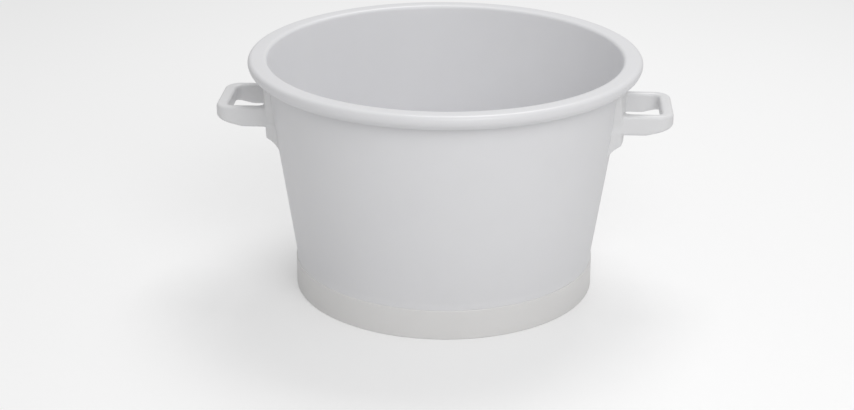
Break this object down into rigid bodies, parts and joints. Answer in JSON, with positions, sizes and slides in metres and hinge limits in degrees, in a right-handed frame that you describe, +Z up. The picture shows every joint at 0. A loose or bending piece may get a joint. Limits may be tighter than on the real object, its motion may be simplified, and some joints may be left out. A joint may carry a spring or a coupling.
{
  "type": "food-grade plastic tub",
  "caption": "Round tapered tub of natural white food-grade plastic with a thick rolled rim, an upright foot ring and level loop handles on opposite sides",
  "frame": {"origin": "centre of the foot circle, on the ground", "axes": "+Z up along the tub's axis, handles along +X and -X"},
  "size_m": [0.6948, 0.6, 0.37],
  "materials": {
    "shell_plastic": "satin natural white HDPE",
    "foot_plastic": "satin natural white HDPE, very slightly warmer",
    "handle_plastic": "satin natural white HDPE"
  },
  "bodies": {
    "root": {"tub_shell": "shell_plastic", "foot_ring": "foot_plastic", "left_handle": "handle_plastic", "right_handle": "handle_plastic"}
  },
  "joints": []
}
